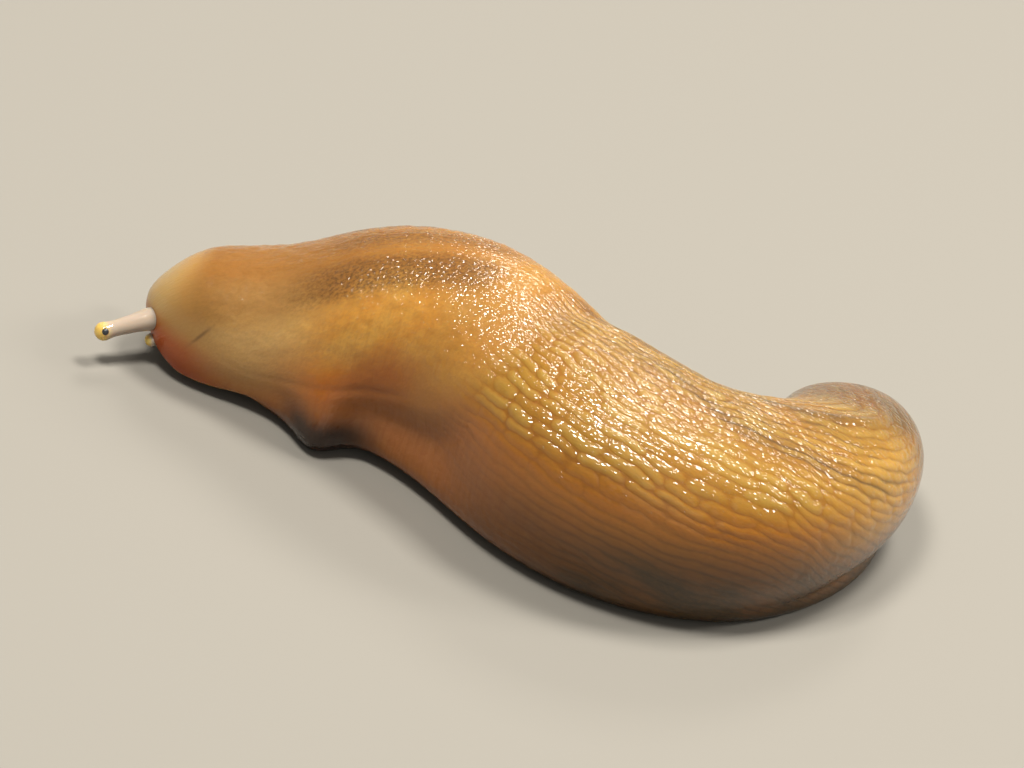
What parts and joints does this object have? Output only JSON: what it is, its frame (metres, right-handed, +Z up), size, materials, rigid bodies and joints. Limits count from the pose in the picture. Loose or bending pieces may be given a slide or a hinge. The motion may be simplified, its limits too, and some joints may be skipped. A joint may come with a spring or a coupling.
{
  "type": "keelback slug",
  "caption": "Life-size keelback slug at rest, half drawn in, with a smooth mantle shield, rows of tubercles, a keeled tail bent round and an upper feeler out.",
  "frame": {"origin": "middle of the slug's box on the floor it rests on", "axes": "+Z up, -X the way the slug faces, -Y its left side; its tail is bent round towards +Y"},
  "size_m": [0.0332, 0.0176, 0.0092],
  "materials": {
    "head_skin": "wet, translucent",
    "mantle_skin": "wet, finely granular",
    "trunk_skin": "wet, with rows of tubercles",
    "foot_skin": "wet, translucent",
    "feeler_skin": "wet, translucent",
    "eye_pigment": "glossy black"
  },
  "bodies": {
    "root": {"head": "head_skin", "mantle": "mantle_skin", "trunk_front": "trunk_skin", "trunk_middle": "trunk_skin", "trunk_rear": "trunk_skin", "tail": "trunk_skin", "foot_front": "foot_skin", "foot_middle": "foot_skin", "foot_rear": "foot_skin", "upper_feeler_left": "feeler_skin", "upper_feeler_right": "feeler_skin", "lower_feeler_left": "feeler_skin", "lower_feeler_right": "feeler_skin", "eye_left": "eye_pigment", "eye_right": "eye_pigment"}
  },
  "joints": []
}
